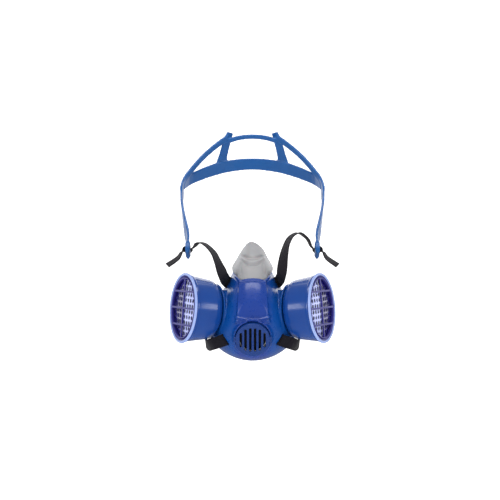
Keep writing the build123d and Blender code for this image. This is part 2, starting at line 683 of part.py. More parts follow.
def cradle_band(rows, steps, arms=False, tilt=0.0):
    """Band of the cradle lying flat on the head, turned a little by tilt. arms frees its low ends."""
    centres = smooth_path([Vector(*row[0]) for row in rows], steps)
    widths = mixed([row[1] for row in rows], len(centres))
    across = []
    for k in range(len(centres)):
        ahead = centres[min(k + 1, len(centres) - 1)]
        behind = centres[max(k - 1, 0)]
        run = (ahead - behind).normalized()
        flat = run.cross(head_normal(centres[k])).normalized()
        if arms:
            share = min(1.0, max(0.0, (ARM_FREE_Z - centres[k].Z) / 40.0))
            flat = flat * (1 - share) + arm_width_at(centres[k]) * share
        across.append(flat - Vector(tilt, 0, 0))
    return ribbon(centres, widths, across, CRADLE_T)


def mirrored_rows(half, middle):
    """Rows from the right side, over the middle, to the left side."""
    right = [((-x, y, z), wide) for (x, y, z), wide in half]
    left = [((x, y, z), wide) for (x, y, z), wide in reversed(half)]
    return right + [middle] + left


with BuildPart() as head_cradle:
    add(cradle_band(mirrored_rows(ARM + BAND, BAND_MIDDLE), 2, arms=True))
    add(cradle_band(mirrored_rows(ARCH, ARCH_MIDDLE), 3))
    for name, side in SIDES:
        for rows, tilt in ((OUTER, OUTER_TILT), (STRUT, 0.0)):
            add(cradle_band([((side * x, y, z), wide) for (x, y, z), wide in rows], 2, tilt=tilt))
    for name, side in SIDES:
        loop_plane = Plane(origin=(side * ARM_X - ARM_T / 2, ARM_Y, ARM_Z), x_dir=(0, 0.86, -0.51),
                           z_dir=(1, 0, 0))
        with BuildSketch(loop_plane):
            RectangleRounded(LOOP_LONG, LOOP_WIDE, 4.0)
        extrude(amount=ARM_T)
    for name, side in SIDES:
        slot_plane = Plane(origin=(side * (ARM_X - 5), ARM_Y, ARM_Z), x_dir=(0, 0.86, -0.51),
                           z_dir=(side, 0, 0))
        with BuildSketch(slot_plane):
            Rectangle(STRAP_W + SLOT_CLEAR, STRAP_T + SLOT_CLEAR)
        extrude(amount=10, mode=Mode.SUBTRACT)
keep("head_cradle", head_cradle.part)

for label, shape in ALL_PARTS.items():
    export_step(shape, "parts/" + label + ".step")
print(len(ALL_PARTS), "parts written")
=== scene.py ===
# %% [markdown]
# # A half mask respirator with two filters
# A soft grey silicone facepiece seals on the face, a stiff blue cover holds it, and two round filters
# twist onto ports in the cheeks. A blue cradle sits on the crown and black webbing ties it all together.
# The engineering model is already there as a fixed frame, so this lesson dresses it: every piece is built
# where the frame says, and every piece but the straps rides on one of its bodies.

# %% Load the frame
import json
import math

import bmesh
import bpy
from mathutils import Matrix, Vector


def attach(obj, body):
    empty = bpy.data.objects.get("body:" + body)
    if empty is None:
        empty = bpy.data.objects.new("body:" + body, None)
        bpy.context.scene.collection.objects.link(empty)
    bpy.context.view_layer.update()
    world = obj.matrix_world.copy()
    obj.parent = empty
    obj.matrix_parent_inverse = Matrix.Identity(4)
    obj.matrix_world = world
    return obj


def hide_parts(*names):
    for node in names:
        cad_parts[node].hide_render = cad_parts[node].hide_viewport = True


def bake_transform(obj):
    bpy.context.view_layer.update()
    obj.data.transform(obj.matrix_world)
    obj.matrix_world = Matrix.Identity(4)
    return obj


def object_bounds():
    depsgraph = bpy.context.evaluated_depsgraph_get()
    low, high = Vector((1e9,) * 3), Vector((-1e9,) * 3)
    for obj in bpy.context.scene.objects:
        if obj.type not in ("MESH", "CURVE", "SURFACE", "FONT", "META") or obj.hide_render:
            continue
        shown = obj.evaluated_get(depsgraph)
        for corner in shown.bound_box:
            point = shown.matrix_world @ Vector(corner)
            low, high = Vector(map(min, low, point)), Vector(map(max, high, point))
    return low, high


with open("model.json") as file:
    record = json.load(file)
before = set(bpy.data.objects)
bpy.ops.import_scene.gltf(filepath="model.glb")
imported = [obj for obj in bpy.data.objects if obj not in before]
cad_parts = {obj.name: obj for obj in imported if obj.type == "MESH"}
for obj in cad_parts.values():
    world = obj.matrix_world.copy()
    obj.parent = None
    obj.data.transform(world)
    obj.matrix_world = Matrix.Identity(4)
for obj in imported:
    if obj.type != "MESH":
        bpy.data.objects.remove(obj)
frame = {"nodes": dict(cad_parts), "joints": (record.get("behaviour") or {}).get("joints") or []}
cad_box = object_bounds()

MM = 0.001
SIDES = (("left", 1), ("right", -1))
nodes = frame["nodes"]
joints = {joint["name"]: joint for joint in frame["joints"]}
print(len(nodes), "nodes and", len(joints), "joints in the frame")

# %% [markdown]
# ## Camera and room
# The mask is shown straight from the front by a long lens a little over a metre away, so that its two sides
# look alike. The room is a pale floor that meets a wall in a curve, which leaves no hard horizon. Each is
# one edge, extruded along the floor or spun up into the wall.

# %% Camera
scene = bpy.context.scene
camera_data = bpy.data.cameras.new("camera")
camera_data.lens = 79
camera_data.sensor_width = 36
camera = bpy.data.objects.new("camera", camera_data)
camera.location = (-0.003, -1.30, 0.0575)
camera.rotation_euler = (math.radians(90), 0, 0)
scene.collection.objects.link(camera)
scene.camera = camera
scene.view_settings.view_transform = "Standard"
print("camera at", tuple(camera.location))


# %% Mesh helpers
def new_object(name, bm):
    """Turns a bmesh into a linked object that sits at the origin."""
    mesh = bpy.data.meshes.new(name)
    bm.to_mesh(mesh)
    bm.free()
    piece = bpy.data.objects.new(name, mesh)
    scene.collection.objects.link(piece)
    return piece


def finished_mesh(piece):
    """Applies every modifier of a piece, so that later steps work on the real surface."""
    bpy.context.view_layer.update()
    mesh = bpy.data.meshes.new_from_object(piece.evaluated_get(bpy.context.evaluated_depsgraph_get()))
    piece.modifiers.clear()
    piece.data = mesh


def shade_smooth(piece):
    """Shades a piece smooth all over."""
    piece.data.shade_smooth()


# %% Floor and wall
FLOOR_Z = cad_box[0][2] - 90 * MM
FLOOR_FRONT, FLOOR_BACK, WALL_BEND = -2.4, 1.2, 0.8


def is_vert(item):
    """Whether a piece of a bmesh result is a vertex."""
    return isinstance(item, bmesh.types.BMVert)


def edge_across(bm, y):
    """One long edge across the room at floor height."""
    return bm.edges.new([bm.verts.new((-3.0, y, FLOOR_Z)), bm.verts.new((3.0, y, FLOOR_Z))])


bm = bmesh.new()
grown = bmesh.ops.extrude_edge_only(bm, edges=[edge_across(bm, FLOOR_FRONT)])["geom"]
bmesh.ops.translate(bm, vec=(0, FLOOR_BACK - FLOOR_FRONT, 0), verts=[v for v in grown if is_vert(v)])
bmesh.ops.recalc_face_normals(bm, faces=bm.faces)
floor = new_object("studio_floor", bm)
floor.visible_glossy = False

bm = bmesh.new()
foot = edge_across(bm, FLOOR_BACK)
bmesh.ops.spin(bm, geom=list(foot.verts) + [foot], axis=(1, 0, 0), cent=(0, FLOOR_BACK, FLOOR_Z + WALL_BEND),
               angle=math.radians(90), steps=24)
top = [e for e in bm.edges if all(v.co.z > FLOOR_Z + WALL_BEND - 0.01 for v in e.verts)]
grown = bmesh.ops.extrude_edge_only(bm, edges=top)["geom"]
bmesh.ops.translate(bm, vec=(0, 0, 2.4), verts=[v for v in grown if is_vert(v)])
bmesh.ops.recalc_face_normals(bm, faces=bm.faces)
wall = new_object("studio_wall", bm)
shade_smooth(wall)
print("floor at", round(FLOOR_Z / MM, 1), "mm")

# %% [markdown]
# ## Light
# Glossy plastic shows its light sources, so they are few, large and soft: a box above, one at each side that
# draws the bands on the filters, and a big one in front that lights but isn't mirrored. The sky is white to
# look at and dim as a light, so that the blues and blacks stay deep.

# %% Lights
world = bpy.data.worlds.new("studio")
scene.world = world
world.use_nodes = True
sky = world.node_tree
sky_ray = sky.nodes.new("ShaderNodeLightPath")
sky_range = sky.nodes.new("ShaderNodeMapRange")
sky_range.inputs["To Min"].default_value = 0.28
sky_range.inputs["To Max"].default_value = 1.0
sky.links.new(sky_ray.outputs["Is Camera Ray"], sky_range.inputs["Value"])
sky.links.new(sky_range.outputs["Result"], sky.nodes["Background"].inputs["Strength"])
sky.nodes["Background"].inputs["Color"].default_value = (1, 1, 1, 1)
for name, place, aim, wide, tall, power, mirrored in (
        ("top_box", (0.0, -0.30, 1.05), (0, 0, 0.02), 1.1, 0.34, 7.0, True),
        ("front_box", (0.0, -1.7, 0.95), (0, 0, 0.02), 1.6, 0.7, 18.0, False),
        ("left_box", (1.25, -0.95, 0.22), (0.05, 0, 0), 0.8, 0.45, 4.0, True),
        ("right_box", (-1.25, -0.95, 0.22), (-0.05, 0, 0), 0.8, 0.45, 4.0, True),
        ("back_box", (0.0, 0.75, 0.75), (0, 0, 0.1), 1.0, 0.5, 3.0, False)):
    lamp = bpy.data.lights.new(name, "AREA")
    lamp.shape = "RECTANGLE"
    lamp.size = wide
    lamp.size_y = tall
    lamp.energy = power
    lamp_object = bpy.data.objects.new(name, lamp)
    lamp_object.location = place
    lamp_object.visible_glossy = mirrored
    lamp_object.rotation_euler = (Vector(aim) - Vector(place)).to_track_quat("-Z", "Y").to_euler()
    scene.collection.objects.link(lamp_object)
print("five soft boxes")


# %% [markdown]
# ## Materials
# Each finish starts from what the real one is and how its surface was made. Colours are written as screen
# values and turned to linear light by one function, and one small function adds a node with its settings
# and links. Patterns are sized in millimetres on Object coordinates, or on a strap's own UV map.

# %% Colour and node helpers
def linear(colour):
    """Screen colour such as #aabbcc as linear light."""
    parts = [int(colour[k:k + 2], 16) / 255 for k in (1, 3, 5)]
    return tuple(p / 12.92 if p <= 0.04045 else ((p + 0.055) / 1.055) ** 2.4 for p in parts) + (1.0,)


def add_node(tree, kind, inputs=None, **settings):
    """Adds one node: settings are its properties, inputs are values or the sockets that feed it."""
    node = tree.nodes.new(kind)
    for name, value in settings.items():
        setattr(node, name, value)
    for socket, value in (inputs or {}).items():
        if isinstance(value, bpy.types.NodeSocket):
            tree.links.new(value, node.inputs[socket])
        else:
            node.inputs[socket].default_value = value
    return node


def new_material(name, **shader_values):
    """A material with its shader, whose constants are set on the shader's own sockets."""
    material = bpy.data.materials.new(name)
    material.use_nodes = True
    tree = material.node_tree
    shader = tree.nodes["Principled BSDF"]
    for socket, value in shader_values.items():
        shader.inputs[socket.replace("_", " ").title().replace("Ior", "IOR")].default_value = value
    return material, tree, shader


def per_mm(size):
    """Noise scale that gives a pattern of that size in millimetres."""
    return 1 / (size * MM)


# %% [markdown]
# ### Moulded plastics and silicone
# An injection moulded part copies the steel it was pressed against. A polished mould gives gloss with a
# faint orange peel and slow changes of sheen; a blasted one gives a fine even grain. Two noises do both: a
# slow one moves colour and roughness a little, a fine one lifts the surface.

# %% Moulded finishes
# The cover's painted cyan reflection fades in between these two distances from the middle.
PANEL_SIDE, FLANK_SIDE = 12 * MM, 26 * MM  # the cover's colour turns between these distances from the middle


def moulded(name, colour, shade, rough, spread, peel, height, cloud=26.0, painted_reflection_tint=None, **shader_values):
    """Moulded finish: colour drifts to shade, and at the sides to a painted reflection tint; bumps are peel mm
    wide.
    """
    material, tree, shader = new_material(name, **shader_values)
    place = add_node(tree, "ShaderNodeTexCoord")
    slow = add_node(tree, "ShaderNodeTexNoise", {"Vector": place.outputs["Object"], "Scale": per_mm(cloud),
                                                 "Detail": 3.0})
    tint = add_node(tree, "ShaderNodeMix", {"Factor": slow.outputs["Fac"], 6: linear(colour), 7: linear(shade)},
                    data_type="RGBA")
    # At the sides the colour turns to the painted reflection tint, which stands in for coloured reflections.
    if painted_reflection_tint:
        parts = add_node(tree, "ShaderNodeSeparateXYZ", {0: place.outputs["Object"]})
        aside = add_node(tree, "ShaderNodeMath", {0: parts.outputs["X"]}, operation="ABSOLUTE")
        share = add_node(tree, "ShaderNodeMapRange", {"Value": aside.outputs[0], "From Min": PANEL_SIDE,
                                                      "From Max": FLANK_SIDE}, interpolation_type="SMOOTHSTEP")
        tint = add_node(tree, "ShaderNodeMix", {"Factor": share.outputs["Result"], 6: tint.outputs[2],
                                                7: linear(painted_reflection_tint)}, data_type="RGBA")
    tree.links.new(tint.outputs[2], shader.inputs["Base Color"])
    worn = add_node(tree, "ShaderNodeTexNoise", {"Vector": place.outputs["Object"], "Scale": per_mm(4.0),
                                                 "Detail": 5.0})
    sheen = add_node(tree, "ShaderNodeMapRange", {"Value": worn.outputs["Fac"], "From Min": 0.3,
                                                  "From Max": 0.7, "To Min": rough - spread,
                                                  "To Max": rough + spread})
    tree.links.new(sheen.outputs["Result"], shader.inputs["Roughness"])
    fine = add_node(tree, "ShaderNodeTexNoise", {"Vector": place.outputs["Object"], "Scale": per_mm(peel),
                                                 "Detail": 2.0})
    bump = add_node(tree, "ShaderNodeBump", {"Height": fine.outputs["Fac"], "Strength": 0.5,
                                             "Distance": height * MM})
    tree.links.new(bump.outputs["Normal"], shader.inputs["Normal"])
    return material


# Polyamide from a polished mould: deep blue with a clear, slightly wavy gloss. Its flanks are painted a cyan
# blue as a painted reflection.
polyamide_cover = moulded("glossy_moulded_polyamide", "#15307c", "#0d3684", 0.30, 0.05, 3.0, 0.05,
                          painted_reflection_tint="#053f86", ior=1.5, specular_ior_level=0.4, coat_weight=0.15,
                          coat_roughness=0.12)
# The same resin at the chin, where the mould is less polished. Its colour is a darker teal blue, painted as a
# painted reflection.
polyamide_chin = moulded("satin_moulded_polyamide", "#0d3373", "#0a2d6c", 0.30, 0.05, 2.0, 0.04, ior=1.53)
# ABS of the filter cans: a little brighter and glossier, with the same slow waves.
abs_filter = moulded("glossy_moulded_abs", "#0a3e86", "#0b367e", 0.22, 0.04, 4.0, 0.05,
                     ior=1.53, coat_weight=0.4, coat_roughness=0.06)
# Polyethylene of the cradle: softer plastic, waxy and lighter.
polyethylene_cradle = moulded("waxy_moulded_polyethylene", "#08508f", "#0a4886", 0.34, 0.06, 2.5, 0.05,
                              ior=1.51, coat_weight=0.1, coat_roughness=0.2)
# Pale ABS of the inlet ring: nearly white, cool, satin.
abs_ring = moulded("satin_moulded_pale_abs", "#8fa3d4", "#8294cb", 0.34, 0.05, 2.0, 0.03, ior=1.5)
# Indigo ABS of the ribs and of the step inside the ring: deep colour, quiet gloss.
abs_rib = moulded("indigo_moulded_abs", "#2c2a80", "#242272", 0.38, 0.05, 1.5, 0.04, ior=1.5)
# Glossy ABS of the domed screens: pale as painted light on the half that leans on the mask and deep indigo as
# painted shade on the outer half, with enough gloss that the lands between the holes glint.
abs_screen = moulded("glossy_moulded_abs_of_screens", "#b9c2f2", "#a9b2ec", 0.24, 0.05, 1.5, 0.04,
                     ior=1.58, coat_weight=0.6, coat_roughness=0.2)
tree = abs_screen.node_tree
# The nodes below paint the screen pale as painted light towards the mask and indigo as painted shade on the
# outer half.
place = add_node(tree, "ShaderNodeTexCoord")
parts = add_node(tree, "ShaderNodeSeparateXYZ", {0: place.outputs["Object"]})
aside = add_node(tree, "ShaderNodeMath", {0: parts.outputs["X"]}, operation="ABSOLUTE")
SWEEP = math.radians(25)  # how far the filters are swept back
PAINTED_SHADE_FROM, PAINTED_SHADE_TO = -18 * MM, -10 * MM  # where the screen turns indigo, measured across it
aside = add_node(tree, "ShaderNodeMath", {0: aside.outputs[0], 1: math.sin(SWEEP)}, operation="MULTIPLY")
across = add_node(tree, "ShaderNodeMath", {0: parts.outputs["Y"], 1: math.cos(SWEEP), 2: aside.outputs[0]},
                  operation="MULTIPLY_ADD")
share = add_node(tree, "ShaderNodeMapRange", {"Value": across.outputs[0], "From Min": PAINTED_SHADE_FROM,
                                              "From Max": PAINTED_SHADE_TO}, interpolation_type="SMOOTHSTEP")
shader = tree.nodes["Principled BSDF"]
pale = shader.inputs["Base Color"].links[0].from_socket
# The pale colour is painted light; the indigo that replaces it on the outer half is painted shade.
painted_light_and_shade = add_node(tree, "ShaderNodeMix", {"Factor": share.outputs["Result"], 6: pale, 7: linear("#17146a")},
                  data_type="RGBA")
tree.links.new(painted_light_and_shade.outputs[2], shader.inputs["Base Color"])
# Glass filled polypropylene of the ports, keepers and clip: near black with a fine blasted grain.
black_polypropylene = moulded("grained_polypropylene", "#08090c", "#0d0e12", 0.5, 0.08, 0.35, 0.05, ior=1.49)
# Silicone of the facepiece: soft satin grey, dusty rather than shiny, a touch lighter where it is thin.
silicone_grey = moulded("satin_moulded_silicone", "#98989a", "#8b8b8d", 0.42, 0.06, 0.8, 0.03, cloud=14.0,
                        ior=1.41, subsurface_weight=0.08, subsurface_scale=0.002, sheen_weight=0.15)
# Thin clear silicone of the valve flaps and gaskets: milky and smooth.
silicone_milky = moulded("milky_thin_silicone", "#d6d8d2", "#c9ccc6", 0.28, 0.05, 1.2, 0.02, ior=1.41,
                         transmission_weight=0.2)
# Black silicone of the outlet flap, which shows only as darkness behind the slots.
silicone_black = moulded("smooth_black_silicone", "#06070c", "#090a10", 0.4, 0.05, 1.2, 0.02, ior=1.41)
# Crushed charcoal: black granules about a millimetre across with bright broken faces.
charcoal = moulded("packed_charcoal", "#0d0d0e", "#1c1c1e", 0.55, 0.25, 1.1, 0.9, cloud=1.2)
# Painted board of the floor and the wall: matt and even, and lit from behind like a light table.
board = moulded("matt_painted_board", "#e8e8e8", "#e4e4e4", 0.9, 0.02, 3.0, 0.02, cloud=600.0,
                emission_color=(1, 1, 1, 1), emission_strength=0.80)
floor.data.materials.append(board)
wall.data.materials.append(board)
print(len(bpy.data.materials), "materials so far")

# %% [markdown]
# ### Webbing
# Strap webbing is woven narrow: thick warp threads run along it in ribs and the weft binds them, with a
# tight bead at each edge. The ribs run across a UV map whose V is the length of strap in metres and whose
# U runs over the width, so the weave follows every twist. Threads are about 0.5 mm; they are drawn at
# 1 mm, because the real ones are too fine to show.

# %% Woven webbing
STRAP_WIDE = 14 * MM
webbing, tree, shader = new_material("woven_polyester_webbing", roughness=0.78, ior=1.5, sheen_weight=0.06,
                                     sheen_roughness=0.5, specular_ior_level=0.15)
weave_uv = add_node(tree, "ShaderNodeUVMap", uv_map="weave")
split = add_node(tree, "ShaderNodeSeparateXYZ", {0: weave_uv.outputs["UV"]})
warp = add_node(tree, "ShaderNodeMath", {0: split.outputs["X"], 1: 2 * math.pi * per_mm(1.0)},
                operation="MULTIPLY")
weft = add_node(tree, "ShaderNodeMath", {0: split.outputs["Y"], 1: 2 * math.pi * per_mm(1.4)},
                operation="MULTIPLY")
warp_wave = add_node(tree, "ShaderNodeMath", {0: warp.outputs[0]}, operation="SINE")
weft_shift = add_node(tree, "ShaderNodeMath", {0: weft.outputs[0], 1: warp_wave.outputs[0]}, operation="ADD")
weft_wave = add_node(tree, "ShaderNodeMath", {0: weft_shift.outputs[0]}, operation="SINE")
threads = add_node(tree, "ShaderNodeMath", {0: warp_wave.outputs[0], 1: weft_wave.outputs[0]},
                   operation="MULTIPLY")
fuzz = add_node(tree, "ShaderNodeTexNoise", {"Vector": weave_uv.outputs["UV"], "Scale": per_mm(6.0),
                                             "Detail": 6.0})
dust = add_node(tree, "ShaderNodeMix", {"Factor": fuzz.outputs["Fac"], 6: linear("#0a0a0d"),
                                        7: linear("#17141a")}, data_type="RGBA")
lit = add_node(tree, "ShaderNodeMapRange", {"Value": threads.outputs[0], "From Min": -1.0, "From Max": 1.0,
                                            "To Min": 0.0, "To Max": 0.30})
thread_tint = add_node(tree, "ShaderNodeMix", {"Factor": lit.outputs["Result"], 6: dust.outputs[2],
                                               7: linear("#2b2833")}, data_type="RGBA")
tree.links.new(thread_tint.outputs[2], shader.inputs["Base Color"])
weave_bump = add_node(tree, "ShaderNodeBump", {"Height": threads.outputs[0], "Strength": 0.6,
                                               "Distance": 0.15 * MM})
tree.links.new(weave_bump.outputs["Normal"], shader.inputs["Normal"])

# %% [markdown]
# ### Filter fleece
# The particle filter is a pad of fine blown fibres, matt and slightly uneven. It is painted dark indigo as
# painted shade, for the dark seen behind the screen. A warped noise gives the loose fibres, drawn at 1 mm.

# %% Blown fleece
fleece, tree, shader = new_material("blown_fibre_fleece", roughness=0.95, sheen_weight=0.3)
place = add_node(tree, "ShaderNodeTexCoord")
fibres = add_node(tree, "ShaderNodeTexNoise", {"Vector": place.outputs["Object"], "Scale": per_mm(1.0),
                                               "Detail": 8.0, "Distortion": 2.0})
fibre_tint = add_node(tree, "ShaderNodeMix", {"Factor": fibres.outputs["Fac"], 6: linear("#0e0c24"),
                                              7: linear("#1d1a3c")}, data_type="RGBA")
tree.links.new(fibre_tint.outputs[2], shader.inputs["Base Color"])
fibre_bump = add_node(tree, "ShaderNodeBump", {"Height": fibres.outputs["Fac"], "Strength": 0.7,
                                               "Distance": 0.4 * MM})
tree.links.new(fibre_bump.outputs["Normal"], shader.inputs["Normal"])
print(len(bpy.data.materials), "materials in all")


# %% [markdown]
# ## Soft and moulded shells
# The facepiece, the cover, the exhalation cap and the cradle have no sharp corners on the real object: they
# come out of a mould with every edge rounded. The frame's solids have the right shape but crisp edges. So a
# copy is merged, given one even skin of small squares by a voxel remesh, and relaxed until its edges are
# round. After that, small ridges and folds are pushed up and down along the surface's own direction.

# %% Remoulding helper
def remoulded(node, name, voxel, relax):
    """Copy of a frame node with an even skin of squares voxel mm wide, relaxed that many times."""
    bm = bmesh.new()
    bm.from_mesh(nodes[node].data)
    bmesh.ops.remove_doubles(bm, verts=bm.verts, dist=0.01 * MM)
    piece = new_object(name, bm)
    skin = piece.modifiers.new("even skin", "REMESH")
    skin.mode = "VOXEL"
    skin.voxel_size = voxel * MM
    skin.adaptivity = 0
    finished_mesh(piece)
    bm = bmesh.new()
    bm.from_mesh(piece.data)
    for step in range(relax):
        bmesh.ops.smooth_vert(bm, verts=bm.verts, factor=0.5, use_axis_x=True, use_axis_y=True,
                              use_axis_z=True)
    bm.to_mesh(piece.data)
    bm.free()
    print(name, len(piece.data.polygons), "squares")
    return piece


def push(piece, lift):
    """Moves every vertex along its normal by lift(place, normal) in mm."""
    bm = bmesh.new()
    bm.from_mesh(piece.data)
    bm.normal_update()
    moves = [(v, v.normal * lift(v.co / MM, v.normal) * MM) for v in bm.verts]
    for vert, move in moves:
        vert.co += move
    bm.to_mesh(piece.data)
    bm.free()


def bell(distance, width):
    """Smooth hill, one at no distance and nearly nothing at twice the width."""
    return math.exp(-(distance / width) ** 2)


def clad(piece, material, body, slot, *replaced):
    """Gives a finished piece its material and its body, and hides the nodes it stands for; slot is not used."""
    piece.data.materials.clear()
    piece.data.materials.append(material)
    shade_smooth(piece)
    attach(piece, body)
    if replaced:
        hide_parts(*replaced)


# %% [markdown]
# ### Facepiece
# Only the nose bridge of the silicone shows above the cover. It has a fold under the tip, a smile shaped
# ridge below that, and a crease down each side where the soft wall bends.

# %% Facepiece
COVER_TOP = 24


def soft_end(distance, reach):
    """One inside a reach, falling to nothing over the last fifth of it."""
    return min(1.0, max(0.0, (reach - abs(distance)) / (0.2 * reach)))


def nose_folds(place, normal):
    """Folds of the nose bridge on its outer face; under the cover that face keeps clear of it."""
    x, y, z = place
    if z < COVER_TOP and normal.y < -0.1 and y < -8:
        return -0.8
    if normal.y > 0.1 or z < 30 or y > 0:
        return 0.0
    front = min(1.0, max(0.0, (0.1 - normal.y) * 2))
    tip = -2.4 * bell(z - (49.4 + 0.010 * x * x), 1.2) * soft_end(x, 13)
    smile = 2.0 * bell(z - (42.6 + 0.030 * x * x), 1.5) * soft_end(x, 16)
    under = -1.5 * bell(z - (39.6 + 0.028 * x * x), 1.1) * soft_end(x, 11)
    creases = -0.8 * bell(abs(x + 0.4) - 13.2, 1.0) * soft_end(z - 36, 7)
    return front * (tip + smile + under + creases)


def blunt_nose(piece):
    """Fills the nose bridge out sideways, most of all near its rounded top."""
    for vert in piece.data.vertices:
        z = vert.co.z / MM
        if z > 27:
            low = min(1.0, (z - 27) / 12)
            high = min(1.0, max(0.0, (z - 41) / 10))
            vert.co.x *= 1 + 0.31 * low * low * (3 - 2 * low) - 0.05 * high * high * (3 - 2 * high)


facepiece = remoulded("facepiece", "facepiece_silicone", 1.05, 3)
blunt_nose(facepiece)
push(facepiece, nose_folds)
clad(facepiece, silicone_grey, "mask", "grey_silicone", "facepiece")

# %% [markdown]
# ### Front cover
# The blue cover is stiffened by its own edges: a bead runs along the upper rim with a groove inside it, the
# middle panel has a rib down each side and a lip at its foot, and each strap slot has a raised frame.

# %% Front cover
RIM = [(-41, 14), (-36, 19.5), (-25.5, 32), (-22.5, 31.5), (-14, 23.5), (-7, 25.2), (0, 25.8),
       (7, 25.2), (14, 23.5), (22.5, 31.5), (25.5, 32), (36, 19.5), (41, 14)]
LIP_Z = -20.6
SLOTS = ((27.8, 19.3, -0.46, -0.89), (31.5, -44.0, -0.68, -0.73))


def to_line(x, z, row):
    """Distance in the front view from a point to a broken line."""
    best = 1e9
    for (ax, az), (bx, bz) in zip(row, row[1:]):
        run_x, run_z = bx - ax, bz - az
        share = ((x - ax) * run_x + (z - az) * run_z) / (run_x * run_x + run_z * run_z)
        share = min(1.0, max(0.0, share))
        best = min(best, math.hypot(x - ax - share * run_x, z - az - share * run_z))
    return best


def cover_relief(place, normal):
    """Beads, ribs, lip and slot frames on the outer face of the cover."""
    x, y, z = place
    if normal.y > -0.15:
        return 0.0
    height = 0.0
    if z > 8:
        rim = to_line(x, z, RIM)
        height += 0.4 * bell(rim - 1.0, 0.9) - 0.4 * bell(rim - 3.0, 0.8)
    if abs(x) < 24 and z > -32:
        side = 15.2 + 2.0 * max(0.0, min(1.0, (20 - z) / 34))
        height += 0.55 * bell(abs(x) - side, 1.0) * (-14 < z < 24)
        foot = z - (LIP_Z + 0.0095 * x * x)
        fade = min(1.0, max(0.0, (21 - abs(x)) / 3))
        height += (2.2 * bell(foot, 1.2) - 0.5 * bell(foot + 2.0, 0.9)) * fade
    for slot_x, slot_z, run_x, run_z in SLOTS:
        size = math.hypot(run_x, run_z)
        ends = [(slot_x + k * 7.4 * run_x / size, slot_z + k * 7.4 * run_z / size) for k in (-1, 1)]
        height += 0.2 * bell(to_line(abs(x), z, ends) - 2.6, 1.2)
    return height


front_cover = remoulded("front_cover", "cover_shell", 0.9, 4)
push(front_cover, cover_relief)
clad(front_cover, polyamide_cover, "mask", "blue_cover", "front_cover")

# %% [markdown]
# ### Exhalation cap
# The round cap over the exhalation valve has six slots. It gets the same treatment with a finer skin.

# %% Exhalation cap
cap = remoulded("exhalation_cover", "exhalation_cap", 0.42, 3)
clad(cap, polyamide_chin, "exhalation_cap", "blue_cover", "exhalation_cover")

# %% [markdown]
# ### Head cradle
# The cradle is moulded flat in one piece and bends round the crown. Its bands are thin with rounded edges.

# %% Head cradle
cradle = remoulded("head_cradle", "cradle_bands", 0.85, 5)
clad(cradle, polyethylene_cradle, "cradle", "blue_cradle", "head_cradle")


# %% [markdown]
# ## Filters
# A filter can is a body of revolution, so its outline is drawn once and spun about the port's own axis. The
# axis and its place come from the frame's twist joint. Bevels finish the corners as a mould would.

# %% Spin helper
def port_matrix(side_name):
    """Turns (across, along, outward) into the frame: the outward axis is the filter's twist axis."""
    joint = joints[side_name + "_filter_twist"]
    outward = Vector(joint["axis"]).normalized()
    back = (Vector((0, 1, 0)) - outward * outward.y).normalized()
    turn = Matrix((back, outward.cross(back), outward)).transposed().to_4x4()
    return Matrix.Translation(Vector(joint["pos_m"])) @ turn


def spun(name, outline, place, bevel, steps=128):
    """Closed outline of (radius, distance along the axis) in mm, spun round and set in place."""
    bm = bmesh.new()
    corners = [bm.verts.new((radius * MM, 0, along * MM)) for radius, along in outline]
    edges = [bm.edges.new((a, b)) for a, b in zip(corners, corners[1:] + corners[:1])]
    bmesh.ops.spin(bm, geom=corners + edges, axis=(0, 0, 1), cent=(0, 0, 0), angle=2 * math.pi,
                   steps=steps, use_merge=True)
    bmesh.ops.remove_doubles(bm, verts=bm.verts, dist=0.005 * MM)
    bmesh.ops.recalc_face_normals(bm, faces=bm.faces)
    bmesh.ops.transform(bm, matrix=place, verts=bm.verts)
    piece = new_object(name, bm)
    rounding = piece.modifiers.new("moulded corners", "BEVEL")
    rounding.width = bevel * MM
    rounding.segments = 3
    rounding.limit_method = "ANGLE"
    rounding.angle_limit = math.radians(18)
    finished_mesh(piece)
    return piece


# %% [markdown]
# ### Filter cans
# The can widens a little from its rounded shoulder to the mouth, so that it leaves its mould. A shallow step
# runs round it where the pale ring is pressed on, and two faint beads stiffen the shoulder.

# %% Filter cans and rings
CAN = [(25.5, 0), (27.0, 0), (30.6, 1.3), (33.5, 5.0), (34.1, 8.0), (34.5, 8.6), (34.6, 10.0), (37.9, 31.6),
       (38.5, 32.4), (38.4, 35.4), (36.4, 35.4), (31.7, 7.5), (27.5, 7.5), (27.5, 10.6), (25.5, 10.6)]
RING = [(38.5, 35.4), (40.0, 35.6), (40.0, 37.4), (39.4, 38.0), (37.7, 38.0), (37.3, 37.0), (35.2, 36.2),
        (35.2, 32.4), (35.7, 32.4), (36.3, 35.4)]
PALE_FROM = 37.2
for name, side in SIDES:
    can = spun(name + "_filter_can", CAN, port_matrix(name), 0.7)
    clad(can, abs_filter, name + "_filter", "blue_filter", name + "_filter_housing")
    ring = spun(name + "_filter_rim", RING, port_matrix(name), 0.35)
    clad(ring, abs_ring, name + "_filter", "lavender_ring", name + "_inlet_ring")
    ring.data.materials.append(abs_rib)
    to_axis = port_matrix(name).inverted()
    for face in ring.data.polygons:
        place = to_axis @ face.center
        if math.hypot(place.x, place.y) < PALE_FROM * MM:
            face.material_index = 1
    print(name, "filter", len(can.data.polygons), "faces")

# %% [markdown]
# ### Perforated screens
# A domed screen full of holes guards the fleece. It starts as a flat grid of square cells; each cell is
# inset and its middle taken out, the outer points are drawn in to a circle, and the sheet is bent to a
# shallow dome. Subdivision then rounds every square hole, for a few dozen faces each.

# %% Perforated screens
SCREEN_R, SCREEN_LOW, SCREEN_RISE = 35.0, 33.6, 2.3
CELLS, PITCH, LAND = 12, 6.4, 0.95


